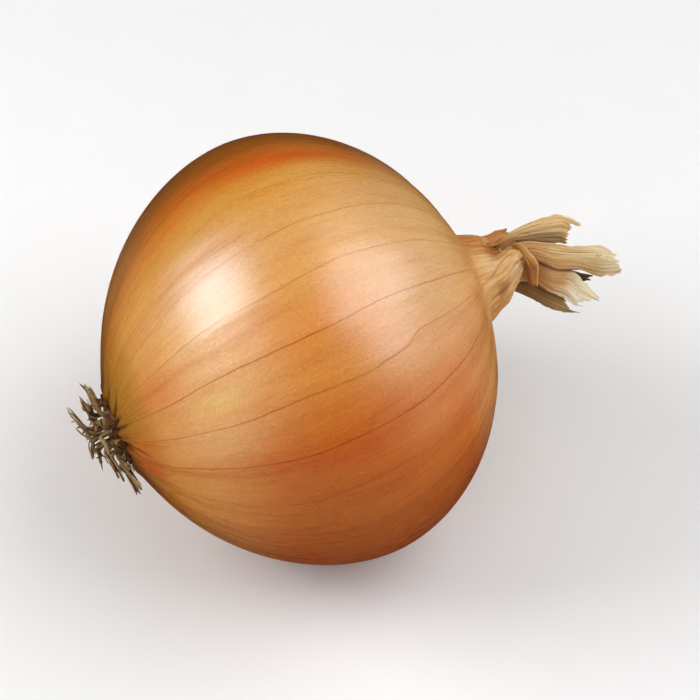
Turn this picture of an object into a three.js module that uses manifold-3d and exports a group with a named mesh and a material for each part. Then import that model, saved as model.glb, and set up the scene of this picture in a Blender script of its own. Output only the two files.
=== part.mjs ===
// A dry yellow onion lying on its side: the bulb in its papery skin, the corky root plate with its dried
// roots, and the withered leaf bases that stand out of the neck.
//
// The whole onion is built in its own axis frame: x runs along its axis from the roots to the leaves with
// x = 0 at the widest girth, z faces the front and y is the remaining side. Two nested groups then lay it
// down on the small flat spot that it rests on, with +Z up and the origin in the middle of that flat.

import * as THREE from "three";
import { LoftGeometry } from "three/addons/geometries/LoftGeometry.js";
import { mergeVertices } from "three/addons/utils/BufferGeometryUtils.js";
import Module from "manifold-3d";

const wasm = await Module();
wasm.setup();

// ---------------------------------------------------------------- driving dimensions, mm and degrees

const GIRTH_RADIUS = 40; // half the bulb's widest diameter
const ROOT_HALF = { length: 37.86, rise: 1.89, round: 1.863 }; // oval from the girth to the root end
const NECK_HALF = { length: 33.34, rise: 1.94, round: 2.09 }; // oval from the girth to the shoulder
const NECK = { at: 32.4, radius: 9.35, taper: 0.556, from: 8, to: 30, blend: 6 };
const ROOT_END_X = -36.7; // where the bulb is cut off for the root plate
const NECK_END_X = 39.6; // where the fleshy neck ends and only dry leaves go on

const PITCH = 9; // the neck end lifts off level by this angle
const ROLL = 36.8; // turn about the onion's own axis
const FLAT_DEPTH = 0.9; // how far the weight has pressed the resting spot flat

const GAP = 0.3; // clearance between neighbouring pieces
const PLATE = { radius: 6.6, thickness: 0.5, dome: 0.9 };

const LEAF_THICKNESS = 0.5;
const ROOT_SIDES = 6;
const ROOT_STEPS = 7;
const BULB_SEGMENTS = 56;

const SKIN = new THREE.MeshStandardMaterial({ color: 0xc87d3c, roughness: 0.38, metalness: 0 });
const PLATE_CORK = new THREE.MeshStandardMaterial({ color: 0x4a3420, roughness: 0.9, metalness: 0 });
const ROOT_FIBRE = new THREE.MeshStandardMaterial({ color: 0x6e5537, roughness: 0.85, metalness: 0 });
const DRY_LEAF = new THREE.MeshStandardMaterial({ color: 0xcfb083, roughness: 0.7, metalness: 0 });

// ---------------------------------------------------------------------------------------- the bulb

// One half of the bulb: an oval whose radius falls from the girth to nothing over its length.
function ovalRadius(half, distance) {
  const inside = 1 - Math.min(distance / half.length, 1) ** half.rise;
  return GIRTH_RADIUS * Math.max(inside, 0) ** (1 / half.round);
}

// The neck is a slowly narrowing tube that fades into the shoulder.
function neckRadius(x) {
  return (NECK.radius - NECK.taper * (x - NECK.at)) * THREE.MathUtils.smoothstep(x, NECK.from, NECK.to);
}

// The outer radius at x. Past the girth the larger of oval and neck wins, blended softly.
function bulbRadius(x) {
  if (x < 0) return ovalRadius(ROOT_HALF, -x);
  return (ovalRadius(NECK_HALF, x) ** NECK.blend + neckRadius(x) ** NECK.blend) ** (1 / NECK.blend);
}

// Where a level floor touches the pitched bulb: its place along the axis and its depth under the axis.
function lowestPoint() {
  const pitch = THREE.MathUtils.degToRad(PITCH);
  let lowest = { x: 0, depth: 0 };
  for (let x = -GIRTH_RADIUS / 2; x <= 0; x += 0.01) {
    const depth = bulbRadius(x) * Math.cos(pitch) - x * Math.sin(pitch);
    if (depth > lowest.depth) lowest = { x, depth };
  }
  const forward = lowest.x * Math.cos(pitch) + bulbRadius(lowest.x) * Math.sin(pitch);
  return { forward, depth: lowest.depth };
}

// The full-girth profile: points crowd towards both ends, where the outline turns fastest.
function bulbProfile() {
  const profile = [new THREE.Vector2(0, ROOT_END_X)];
  const steps = 34;
  for (let i = 0; i <= steps; i += 1) {
    const along = (1 - Math.cos((Math.PI * i) / steps)) / 2;
    const x = THREE.MathUtils.lerp(ROOT_END_X, NECK_END_X, along);
    profile.push(new THREE.Vector2(bulbRadius(x), x));
  }
  profile.push(new THREE.Vector2(0, NECK_END_X));
  return profile;
}

// A lathe turned so that its axis lies along x.
function latheAlongX(profile, segments) {
  return new THREE.LatheGeometry(profile, segments).rotateZ(-Math.PI / 2);
}

// ------------------------------------------------------------------------------------------- roots

// A point at an angle round the axis: 0 is the -y side, 90 the front (+z), 180 the +y side.
function around(x, radius, degrees) {
  const angle = THREE.MathUtils.degToRad(degrees);
  return new THREE.Vector3(x, -radius * Math.cos(angle), radius * Math.sin(angle));
}

// The domed face of the root plate.
function plateFace(radius) {
  return ROOT_END_X - GAP - PLATE.thickness - PLATE.dome * (1 - (radius / PLATE.radius) ** 2);
}

// The roots stand on the plate in rings. The inner rings stand taller and spread out over the outer
// ones, each ring leaning round the plate its own way, so that the roots cross without touching.
// reach and side: how far out the tips come, and how much further those on the -y side come.
const ROOT_RINGS = [
  { count: 13, base: 5.7, lift: 0.9, tipX: -38.6, sideX: 0.9, reach: 11.2, side: 1.9, lean: 12, thick: 0.42 },
  { count: 10, base: 3.6, lift: 2.0, tipX: -40.6, sideX: 0.7, reach: 8.9, side: 0.7, lean: -24, thick: 0.46 },
  { count: 6, base: 1.5, lift: 3.2, tipX: -43.2, sideX: 0.9, reach: 6.1, side: -0.9, lean: 34, thick: 0.4 },
];

// The middle line of one root: straight out of the plate, then bent outwards with a slight waver.
function rootPath(ring, index) {
  const angle = (360 * (index + 0.5)) / ring.count;
  const lowSide = Math.cos(THREE.MathUtils.degToRad(angle));
  const waver = Math.sin(index * 2.4);
  const reach = ring.reach + ring.side * lowSide + 0.7 * waver;
  const tipX = ring.tipX + ring.sideX * lowSide + 0.25 * Math.sin(index * 4.1);
  const start = plateFace(ring.base) - GAP;
  return new THREE.CatmullRomCurve3([
    around(start, ring.base, angle),
    around(start - ring.lift, ring.base + 0.5, angle + 0.08 * ring.lean),
    around(THREE.MathUtils.lerp(start - ring.lift, tipX, 0.55), (ring.base + reach) / 2, angle + ring.lean / 2),
    around(tipX, reach, angle + ring.lean + 3 * waver),
  ]);
}

// A root: a tapering tube whose rings follow the path's own frames.
function rootGeometry(path, thick) {
  const frames = path.computeFrenetFrames(ROOT_STEPS, false);
  const rings = [];
  for (let i = 0; i <= ROOT_STEPS; i += 1) {
    const along = i / ROOT_STEPS;
    const centre = path.getPointAt(along);
    const radius = thick * (1 - 0.5 * along);
    const ring = [];
    for (let side = 0; side < ROOT_SIDES; side += 1) {
      const angle = (2 * Math.PI * side) / ROOT_SIDES;
      const point = centre.clone();
      point.addScaledVector(frames.normals[i], radius * Math.cos(angle));
      point.addScaledVector(frames.binormals[i], radius * Math.sin(angle));
      ring.push(point);
    }
    rings.push(ring);
  }
  return new LoftGeometry(rings, { capStart: true, capEnd: true });
}

// ------------------------------------------------------------------------------------------ leaves

// Each dry leaf is a thin sheet between two edges, given as x, y, z along each edge from the neck out,
// and bowed towards its face by `bow`. The leaves lie over each other in layers down the z direction.
const LEAVES = {
  neck_flap: {
    bow: 0.7,
    upper: [[40.2, 2.6, 4.5], [41.8, 2.1, 5.0], [43.2, 0.9, 5.0]],
    lower: [[40.2, -4.2, 2.7], [41.5, -3.8, 3.1], [42.4, -2.9, 3.7]],
  },
  neck_fold: {
    bow: 0.2,
    upper: [[43.9, 1.9, 4.8], [44.7, -0.8, 5.4], [45.3, -2.6, 5.4], [44.7, -4.2, 4.6], [43.7, -5.6, 3.7]],
    lower: [[43.6, 1.0, 4.7], [43.6, -1.0, 5.2], [43.5, -2.6, 4.9], [43.0, -3.8, 4.2], [42.3, -5.0, 3.2]],
  },
  neck_crest: {
    bow: 0.1,
    upper: [[40.2, 6.1, -0.8], [41.4, 6.3, -0.6], [42.5, 6.2, -0.2]],
    lower: [[40.2, 5.8, 1.8], [41.4, 6.1, 1.8], [42.5, 6.1, 1.4]],
  },
  leaf_long: {
    bow: 0.3,
    upper: [[40.2, 2.8, 2.7], [44, 2.7, 3.4], [48, 1.0, 3.4], [52.3, -1.4, 3.0], [56.9, -3.1, 2.2], [59.2, -5.4, 1.4]],
    lower: [[40.2, -0.6, 2.9], [44.6, -1.4, 4.0], [48, -4.6, 3.8], [51.5, -6.2, 3.2], [55.5, -9.1, 2.2], [59.6, -10, 1.2]],
  },
  leaf_upper: {
    bow: 0.6,
    upper: [[40.2, 4.9, 0.4], [43, 5.2, 1.6], [47, 5.7, 2.2], [50.5, 5.35, 1.8], [54, 4.0, 1.2]],
    lower: [[40.2, 2.2, 1.4], [43.6, 2.6, 1.2], [46.6, 1.6, 0.2], [49.3, 0.4, -0.6], [51.6, -0.4, -1.0]],
  },
  leaf_pale: {
    bow: 0.3,
    upper: [[40.2, -0.6, 1.7], [44.8, -2.6, 2.6], [48.1, -4.8, 2.5], [50.8, -6.0, 2.2], [52.5, -9.2, 1.9], [53.6, -11.8, 1.6]],
    lower: [[40.2, -3.6, 1.5], [43.2, -5.2, 2.0], [45.5, -8.0, 1.9], [47.6, -9.8, 1.6], [49.2, -12, 1.2], [53.1, -13.4, 0.9]],
  },
  leaf_lower: {
    bow: 0.3,
    upper: [[40.2, -2.2, 0.3], [42.5, -3.8, 0.7], [44.5, -6.5, 0.5], [46.8, -10.2, 0.1], [49.3, -12.2, 0.0]],
    lower: [[40.2, -4.6, -0.6], [42, -7.2, -0.8], [44, -9.8, -0.8], [46.5, -12.1, -0.6], [49.4, -13.4, -0.2]],
  },
  leaf_back: {
    bow: -0.3,
    upper: [[40.2, 1.4, -1.6], [45, -1.2, -1.9], [50, -4.4, -1.9], [54.2, -7.6, -1.4]],
    lower: [[40.2, -2.6, -1.8], [44.5, -5.2, -2.3], [49, -8, -2.3], [52.6, -9.4, -1.8]],
  },
  leaf_rear: {
    bow: -0.6,
    upper: [[40.2, 4.2, -1.6], [44, 4.6, -3.2], [47, 4.2, -4.6], [50, 3.0, -5.6]],
    lower: [[40.2, -0.6, -3.4], [44, -0.8, -5.0], [47, -2.0, -6.2], [50, -2.6, -6.6]],
  },
};

const LEAF_STEPS = 9;
const LEAF_STRANDS = 4;

function edgeCurve(points) {
  return new THREE.CatmullRomCurve3(points.map((point) => new THREE.Vector3(...point)));
}

// A leaf: at each step out from the neck, one row of points across the front and one back across the rear.
function leafGeometry({ upper, lower, bow }) {
  const upperEdge = edgeCurve(upper);
  const lowerEdge = edgeCurve(lower);
  const sections = [];
  for (let i = 0; i <= LEAF_STEPS; i += 1) {
    const along = i / LEAF_STEPS;
    const from = upperEdge.getPoint(along);
    const to = lowerEdge.getPoint(along);
    const outwards = upperEdge.getTangent(along).add(lowerEdge.getTangent(along));
    const face = new THREE.Vector3().subVectors(from, to).cross(outwards).normalize().negate();
    const section = [];
    for (const side of [1, -1]) {
      for (let strand = 0; strand <= LEAF_STRANDS; strand += 1) {
        const across = side > 0 ? strand / LEAF_STRANDS : 1 - strand / LEAF_STRANDS;
        const lift = bow * Math.sin(Math.PI * across) + (side * LEAF_THICKNESS) / 2;
        section.push(new THREE.Vector3().lerpVectors(from, to, across).addScaledVector(face, lift));
      }
    }
    sections.push(section);
  }
  return new LoftGeometry(sections, { capStart: true, capEnd: true });
}

// --------------------------------------------------------------------------------- joining the whole

// A geometry with its matrix applied, as a solid for cutting.
function solidOf(geometry) {
  const bare = new THREE.BufferGeometry();
  bare.setAttribute("position", geometry.getAttribute("position"));
  bare.setIndex(geometry.index);
  const merged = mergeVertices(bare, 1e-4);
  return new wasm.Manifold(
    new wasm.Mesh({
      numProp: 3,
      vertProperties: new Float32Array(merged.attributes.position.array),
      triVerts: new Uint32Array(merged.index.array),
    }),
  );
}

function geometryOf(solid) {
  const mesh = solid.getMesh();
  const geometry = new THREE.BufferGeometry();
  geometry.setAttribute("position", new THREE.BufferAttribute(mesh.vertProperties, 3));
  geometry.setIndex(new THREE.BufferAttribute(mesh.triVerts, 1));
  return geometry;
}

function named(name, geometry, material) {
  const mesh = new THREE.Mesh(geometry, material);
  mesh.name = name;
  return mesh;
}

const rest = lowestPoint();
const roll = THREE.MathUtils.degToRad(ROLL);
const pitch = THREE.MathUtils.degToRad(PITCH);

// The bulb is laid down first and the floor's side of it cut away, so that the flat lies exactly at z = 0.
function bulbGeometry() {
  const laid = latheAlongX(bulbProfile(), BULB_SEGMENTS);
  laid.rotateY(-pitch);
  laid.translate(-rest.forward, 0, rest.depth - FLAT_DEPTH);
  const block = new THREE.BoxGeometry(2 * GIRTH_RADIUS, 2 * GIRTH_RADIUS, GIRTH_RADIUS);
  block.translate(0, 0, -GIRTH_RADIUS / 2);
  return geometryOf(solidOf(laid).subtract(solidOf(block)));
}

function plateGeometry() {
  const inner = ROOT_END_X - GAP;
  const profile = [new THREE.Vector2(0, inner - PLATE.thickness - PLATE.dome)];
  for (const share of [0.35, 0.65, 0.88, 1]) {
    profile.push(new THREE.Vector2(PLATE.radius * share, plateFace(PLATE.radius * share)));
  }
  profile.push(new THREE.Vector2(PLATE.radius, inner), new THREE.Vector2(0, inner));
  return latheAlongX(profile, 24);
}

// The axis frame: rolled about its own axis, then pitched, then set down with the flat at the origin.
const axisFrame = new THREE.Group();
axisFrame.rotation.x = roll;
const laidDown = new THREE.Group();
laidDown.rotation.y = -pitch;
laidDown.position.set(-rest.forward, 0, rest.depth - FLAT_DEPTH);
laidDown.add(axisFrame);

axisFrame.add(named("root_plate", plateGeometry(), PLATE_CORK));

let rootNumber = 0;
for (const ring of ROOT_RINGS) {
  for (let index = 0; index < ring.count; index += 1) {
    rootNumber += 1;
    const name = `root_${String(rootNumber).padStart(2, "0")}`;
    axisFrame.add(named(name, rootGeometry(rootPath(ring, index), ring.thick), ROOT_FIBRE));
  }
}

for (const [name, leaf] of Object.entries(LEAVES)) {
  axisFrame.add(named(name, leafGeometry(leaf), DRY_LEAF));
}

const onion = new THREE.Group();
onion.add(named("bulb", bulbGeometry(), SKIN), laidDown);

export default onion;
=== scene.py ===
"""The looks of a dry yellow onion that lies on its side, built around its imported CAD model.

Shapes are worked out in the onion's own axis frame, in millimetres: x runs along the axis from the roots
to the leaves with x = 0 at the widest girth, z faces the front, y is the remaining side. `laid` turns
that frame into the row frame, in metres, with the small resting flat at the origin.
"""

import math

import bpy
import numpy as np
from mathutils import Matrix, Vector


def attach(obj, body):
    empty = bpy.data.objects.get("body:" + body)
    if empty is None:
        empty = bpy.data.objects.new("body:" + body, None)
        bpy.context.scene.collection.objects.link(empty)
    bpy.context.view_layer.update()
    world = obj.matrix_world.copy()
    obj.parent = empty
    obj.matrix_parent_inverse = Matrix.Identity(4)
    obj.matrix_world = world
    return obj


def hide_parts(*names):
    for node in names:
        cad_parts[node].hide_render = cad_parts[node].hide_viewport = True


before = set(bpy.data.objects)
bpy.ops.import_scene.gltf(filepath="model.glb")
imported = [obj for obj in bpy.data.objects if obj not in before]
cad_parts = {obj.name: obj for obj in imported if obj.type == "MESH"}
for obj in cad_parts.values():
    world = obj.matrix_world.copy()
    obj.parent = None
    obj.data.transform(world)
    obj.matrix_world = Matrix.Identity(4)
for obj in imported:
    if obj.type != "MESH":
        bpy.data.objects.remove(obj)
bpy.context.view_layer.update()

MM = 0.001

# ---- driving dimensions, mm and degrees

GIRTH_RADIUS = 40.0
ROOT_HALF = dict(length=37.86, rise=1.89, blunt=1.863)
NECK_HALF = dict(length=33.34, rise=1.94, blunt=2.09)
NECK = dict(at=32.4, radius=9.35, taper=0.556, start=8.0, full=30.0, blend=6.0)
ROOT_END_X = -36.7
NECK_END_X = 39.6
PITCH = math.radians(9.0)
ROLL = math.radians(36.8)
FLAT_DEPTH = 0.9
PLATE_RADIUS = 6.6
PLATE_TOP_X = ROOT_END_X - 0.8
PLATE_DOME = 0.9

VEIN_COUNT = 26
VEIN_START = math.radians(92.4)
SPIRAL = math.radians(0.0728)  # how far the veins turn round the axis per millimetre along it


def smooth_step(low, high, value):
    """0 below low, 1 above high, and 3t^2 - 2t^3 between them."""
    share = np.clip((value - low) / (high - low), 0, 1)
    return share * share * (3 - 2 * share)


def bump(value, centre, width):
    """A bell of height 1: exp(-((value - centre) / width)^2)."""
    return np.exp(-(((value - centre) / width) ** 2))


def turn_between(angle, centre, full_turn=2 * math.pi):
    """How far an angle is turned from a centre, from minus half a turn to half a turn."""
    return (angle - centre + full_turn / 2) % full_turn - full_turn / 2


def oval_radius(distance, length, rise, blunt):
    """Radius of one half of the bulb: R (1 - (d / length)^rise)^(1 / blunt)."""
    inside = 1 - np.clip(distance / length, 0, 1) ** rise
    return GIRTH_RADIUS * np.clip(inside, 0, 1) ** (1 / blunt)


def bulb_radius(x):
    """The bulb's radius at x: an oval on each side of the girth. On the neck's side it is blended with
    a slowly narrowing neck tube as the sixth root of the sum of sixth powers."""
    neck = (NECK["radius"] - NECK["taper"] * (x - NECK["at"])) * smooth_step(NECK["start"], NECK["full"], x)
    front = oval_radius(np.maximum(x, 0), **NECK_HALF)
    front = (front ** NECK["blend"] + np.maximum(neck, 0) ** NECK["blend"]) ** (1 / NECK["blend"])
    return np.where(x < 0, oval_radius(np.maximum(-x, 0), **ROOT_HALF), front)


def resting_place():
    """How far ahead of the axis origin the pitched bulb touches a level floor, and how far below it."""
    x = np.linspace(-20, 0, 2001)
    depth = bulb_radius(x) * math.cos(PITCH) - x * math.sin(PITCH)
    lowest = depth.argmax()
    ahead = x[lowest] * math.cos(PITCH) + bulb_radius(x[lowest]) * math.sin(PITCH)
    return ahead, depth[lowest]


REST_AHEAD, REST_DEPTH = resting_place()


def laid(points):
    """Axis frame (mm) to row frame (m): roll about x, pitch about y, then down onto the flat."""
    x, y, z = np.moveaxis(np.asarray(points, float), -1, 0)
    y, z = y * math.cos(ROLL) - z * math.sin(ROLL), y * math.sin(ROLL) + z * math.cos(ROLL)
    x, z = x * math.cos(PITCH) - z * math.sin(PITCH), x * math.sin(PITCH) + z * math.cos(PITCH)
    return np.stack([x - REST_AHEAD, y, z + REST_DEPTH - FLAT_DEPTH], -1) * MM


def around(x, radius, angle):
    """A point at an angle (radians) round the axis: 0 is the -y side, a quarter turn the front (+z)."""
    x, radius, angle = np.broadcast_arrays(x, radius, angle)
    return np.stack([x, -radius * np.cos(angle), radius * np.sin(angle)], -1)


def linear(red, green, blue):
    """A colour given in screen values from 0 to 255, as the linear values that shaders take."""
    share = np.array([red, green, blue]) / 255
    return np.where(share <= 0.04045, share / 12.92, ((share + 0.055) / 1.055) ** 2.4)


# ---- camera and light

VIEW_AZIMUTH = math.radians(-22.3)
VIEW_ELEVATION = math.radians(50.0)
VIEW_DISTANCE = 0.3775
VIEW_LENS = 106.1
SENSOR = 36.0
AIM_ON_AXIS = 4.02  # mm along the onion's axis
AIM_RIGHT = 4.26 * MM
AIM_UP = -1.756 * MM
WORLD_LEVEL = 0.02

towards_viewer = np.array([
    math.sin(VIEW_AZIMUTH) * math.cos(VIEW_ELEVATION),
    -math.cos(VIEW_AZIMUTH) * math.cos(VIEW_ELEVATION),
    math.sin(VIEW_ELEVATION),
])
view_right = np.array([math.cos(VIEW_AZIMUTH), math.sin(VIEW_AZIMUTH), 0.0])
view_up = np.cross(towards_viewer, view_right)
onion_centre = laid([0, 0, 0])


def look_at(thing, place, target):
    """Puts a camera or a light at a place and turns it towards a target."""
    thing.location = Vector(place)
    way = Vector(np.asarray(target) - np.asarray(place))
    thing.rotation_euler = way.to_track_quat("-Z", "Y").to_euler()


def make_camera():
    """A long lens that looks at the onion's middle from above its front left."""
    data = bpy.data.cameras.new("camera")
    data.lens = VIEW_LENS
    data.sensor_width = SENSOR
    data.clip_start = 0.01
    camera = bpy.data.objects.new("camera", data)
    bpy.context.scene.collection.objects.link(camera)
    aim = laid([AIM_ON_AXIS, 0, 0]) + AIM_RIGHT * view_right + AIM_UP * view_up
    look_at(camera, aim + VIEW_DISTANCE * towards_viewer, aim)
    bpy.context.scene.camera = camera


def softbox(name, direction, distance, size, level):
    """A square area light at a direction given in the camera's own right, up and towards-viewer. `level`
    is the brightness it would give to a perfectly white surface that faces it."""
    data = bpy.data.lights.new(name, "AREA")
    data.size = size
    data.energy = level * math.pi ** 2 * distance ** 2
    light = bpy.data.objects.new(name, data)
    light.visible_camera = False
    bpy.context.scene.collection.objects.link(light)
    right, up, near = direction
    way = right * view_right + up * view_up + near * towards_viewer
    place = onion_centre + distance * way / np.linalg.norm(way)
    look_at(light, place, onion_centre)
    return light


def make_light():
    """A broad fill from the front, a small light to the left for the bright spot, a softbox to the right
    and a broad one overhead."""
    fill = softbox("fill_front", (-0.15, 0.05, 0.98), distance=0.90, size=1.60, level=0.42)
    overhead = softbox("overhead", (-0.10, 0.72, 0.69), distance=0.70, size=0.70, level=0.16)
    fill.visible_glossy = False
    overhead.visible_glossy = False
    softbox("spot_left", (-0.785, 0.36, 0.50), distance=0.60, size=0.33, level=0.74)
    softbox("box_right", (0.64, 0.50, 0.58), distance=0.60, size=0.56, level=0.84)
    world = bpy.data.worlds.new("studio")
    world.use_nodes = True
    world.node_tree.nodes["Background"].inputs["Color"].default_value = (1, 1, 1, 1)
    world.node_tree.nodes["Background"].inputs["Strength"].default_value = WORLD_LEVEL
    bpy.context.scene.world = world
    bpy.context.scene.view_settings.view_transform = "Standard"


# ---- mesh helpers

def new_object(name, points, faces, material):
    """A linked mesh object from points in metres and a list of faces."""
    mesh = bpy.data.meshes.new(name)
    mesh.from_pydata(points.tolist(), [], faces)
    mesh.materials.append(material)
    made = bpy.data.objects.new(name, mesh)
    bpy.context.scene.collection.objects.link(made)
    return made


def mesh_piece(name, points, faces, material, replaced=()):
    """A finished piece from row-frame points in metres: linked, smooth, dressed and tied to the body."""
    piece = new_object(name, points, faces, material)
    piece.data.polygons.foreach_set("use_smooth", np.ones(len(piece.data.polygons), bool))
    piece.data.update()
    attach(piece, "root")
    if replaced:
        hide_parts(*replaced)
    return piece


def grid_faces(rows, columns, wrap):
    """Quads between neighbouring rows of a grid of points, joined round each row if it wraps."""
    count = columns if wrap else columns - 1
    row, column = np.meshgrid(np.arange(rows - 1), np.arange(count), indexing="ij")
    after = (column + 1) % columns
    corners = [row * columns + column, row * columns + after]
    corners += [(row + 1) * columns + after, (row + 1) * columns + column]
    return np.stack(corners, -1).reshape(-1, 4)


def pole_capped_faces(rows, columns):
    """Faces of closed rings with a pole past each end. The points hold the rings, then the two poles."""
    column = np.arange(columns)
    after = (column + 1) % columns
    last_ring, first_pole = (rows - 1) * columns, rows * columns
    start = np.stack([column, after, np.full(columns, first_pole)], -1)
    end = np.stack([last_ring + after, last_ring + column, np.full(columns, first_pole + 1)], -1)
    return grid_faces(rows, columns, wrap=True)[:, ::-1].tolist() + start.tolist() + end.tolist()


def put_floats(mesh, name, values):
    """Stores one number per point under a name that a material reads."""
    mesh.attributes.new(name, "FLOAT", "POINT").data.foreach_set("value", np.float32(values).ravel())


def put_vectors(mesh, name, values):
    """Stores one vector per point."""
    stored = mesh.attributes.new(name, "FLOAT_VECTOR", "POINT")
    stored.data.foreach_set("vector", np.float32(values).ravel())


def put_colours(mesh, name, values):
    """Stores one linear colour per point."""
    shade = np.ones((len(mesh.vertices), 4), np.float32)
    shade[:, :3] = values.reshape(-1, 3)
    mesh.attributes.new(name, "FLOAT_COLOR", "POINT").data.foreach_set("color", shade.ravel())


def put_uv(mesh, name, corner_values):
    """Stores a flat place for each corner of each face."""
    mesh.uv_layers.new(name=name).data.foreach_set("uv", np.float32(corner_values).ravel())


# ---- material helpers

class Shader:
    """A material under construction: small calls that add a node and return its output."""

    def __init__(self, name, roughness, specular=0.5):
        self.material = bpy.data.materials.new(name)
        self.material.use_nodes = True
        self.tree = self.material.node_tree
        self.surface = self.tree.nodes["Principled BSDF"]
        self.surface.inputs["Roughness"].default_value = roughness
        self.surface.inputs["Specular IOR Level"].default_value = specular

    def node(self, kind, inputs=(), **settings):
        made = self.tree.nodes.new(kind)
        for key, value in settings.items():
            setattr(made, key, value)
        for key, value in dict(inputs).items():
            self.feed(made.inputs[key], value)
        return made

    def feed(self, socket, value):
        if isinstance(value, bpy.types.NodeSocket):
            self.tree.links.new(value, socket)
        else:
            socket.default_value = value

    def math(self, operation, first, second=0.0, clamp=False):
        made = self.node("ShaderNodeMath", operation=operation, use_clamp=clamp)
        self.feed(made.inputs[0], first)
        self.feed(made.inputs[1], second)
        return made.outputs[0]

    def plus(self, first, second):
        return self.math("ADD", first, second)

    def times(self, first, second):
        return self.math("MULTIPLY", first, second)

    def wander(self, field, amount):
        """A noise field moved to a mean of 0 and scaled."""
        return self.times(self.math("SUBTRACT", field, 0.5), amount)

    def ramp(self, value, low, high, to_low=0.0, to_high=1.0):
        made = self.node("ShaderNodeMapRange", interpolation_type="SMOOTHSTEP")
        for key, number in zip(("Value", "From Min", "From Max", "To Min", "To Max"),
                               (value, low, high, to_low, to_high)):
            self.feed(made.inputs[key], number)
        return made.outputs["Result"]

    def noise(self, vector, scale, detail=3.0, roughness=0.55):
        made = self.node("ShaderNodeTexNoise", {"Vector": vector, "Scale": scale, "Detail": detail,
                                                "Roughness": roughness})
        return made.outputs["Fac"]

    def stretched(self, vector, scales):
        made = self.node("ShaderNodeMapping", {"Vector": vector, "Scale": scales})
        return made.outputs["Vector"]

    def grain(self, vector, scales, detail=3.0, roughness=0.55):
        """Noise over a vector that is stretched by three scales first."""
        return self.noise(self.stretched(vector, scales), 1.0, detail, roughness)

    def mix(self, share, first, second, blend="MIX"):
        made = self.node("ShaderNodeMix", data_type="RGBA", blend_type=blend)
        self.feed(made.inputs[0], share)
        self.feed(made.inputs[6], first)
        self.feed(made.inputs[7], second)
        return made.outputs[2]

    def attribute(self, name, output):
        return self.node("ShaderNodeAttribute", attribute_name=name).outputs[output]

    def object_place(self):
        return self.node("ShaderNodeTexCoord").outputs["Object"]

    def relief(self, height, distance, strength=1.0):
        made = self.node("ShaderNodeBump", {"Height": height, "Distance": distance, "Strength": strength})
        self.feed(self.surface.inputs["Normal"], made.outputs["Normal"])


def colour(red, green, blue):
    """An opaque linear colour from screen values between 0 and 255."""
    return (*linear(red, green, blue), 1.0)


# Colours that are multiplied into the skin's tone.
RICH, LIGHT = (0.84, 0.62, 0.42, 1), (1.05, 1.15, 1.25, 1)
VEIN_STAIN, TWIG_STAIN, SIDE_STAIN = (0.60, 0.36, 0.16, 1), (0.80, 0.58, 0.36, 1), (0.66, 0.46, 0.30, 1)
NECK_SHADE, NECK_LINE = (0.78, 0.60, 0.42, 1), (0.72, 0.50, 0.30, 1)
SKIN_RELIEF = 0.05 * MM


def skin_material(name="papery_skin"):
    """Papery skin: a painted base tone, long pale and dark fibres, dark veins along the meridians that fade
    in and out, and past the shoulder the bare, duller cream neck with brown painted shade in its creases."""
    shader = Shader(name, roughness=0.30, specular=1.0)
    fibre = shader.attribute("fibre", "Vector")
    place = shader.object_place()
    streak = shader.grain(fibre, (60, 60, 3.2), 4, 0.6)
    fine = shader.grain(fibre, (190, 190, 12), 3, 0.6)
    speck = shader.noise(place, 2300.0, 3, 0.75)

    tone = skin_tone(shader, fibre, place, streak, fine, speck)
    edge_waver = shader.grain(fibre, (5, 5, 0))
    torn = shader.grain(fibre, (19, 19, 2))
    edge = shader.plus(shader.attribute("past_rim", "Fac"), shader.ramp(edge_waver, 0.2, 0.8, -0.3, 0.3))
    edge = shader.plus(edge, shader.ramp(torn, 0.25, 0.75, -0.45, 0.45))
    bare = shader.ramp(edge, -2.1, 0.7)
    tone = shader.mix(bare, tone, bare_neck_tone(shader, fibre))

    shader.feed(shader.surface.inputs["Base Color"], tone)
    rough = shader.plus(shader.ramp(streak, 0.2, 0.8, 0.25, 0.32), shader.times(bare, 0.28))
    shader.feed(shader.surface.inputs["Roughness"], rough)
    gloss = shader.math("SUBTRACT", 1.0, shader.times(bare, 0.7))
    shader.feed(shader.surface.inputs["Specular IOR Level"], gloss)
    height = shader.plus(shader.times(streak, 0.3), shader.times(fine, 0.15))
    height = shader.plus(height, shader.times(speck, 0.95))
    shader.relief(height, SKIN_RELIEF, 0.8)
    return shader.material


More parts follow.
